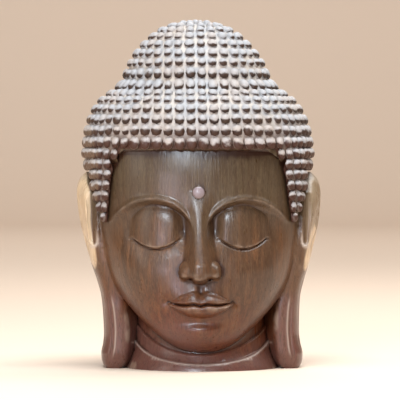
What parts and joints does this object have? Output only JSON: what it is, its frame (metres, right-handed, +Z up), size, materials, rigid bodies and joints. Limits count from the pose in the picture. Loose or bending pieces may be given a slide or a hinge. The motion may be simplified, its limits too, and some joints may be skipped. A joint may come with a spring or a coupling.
{
  "type": "carved wooden buddha head",
  "caption": "Wooden Buddha head carved as one solid, with a calm face to the front and to the back, curled hair and long ears; it stands on its flat underside.",
  "frame": {"origin": "middle of the flat underside, on the surface that the head stands on", "axes": "+Z up from the underside to the crown, one face looks along -Y and the other along +Y, and +X is to the right of a viewer who looks at the face on the -Y side"},
  "size_m": [0.1409, 0.1423, 0.2007],
  "materials": {
    "dark_hibiscus_wood": "satin, oiled dark brown wood with pale sapwood at the ears"
  },
  "bodies": {
    "root": {"buddha_head": "dark_hibiscus_wood"}
  },
  "joints": []
}
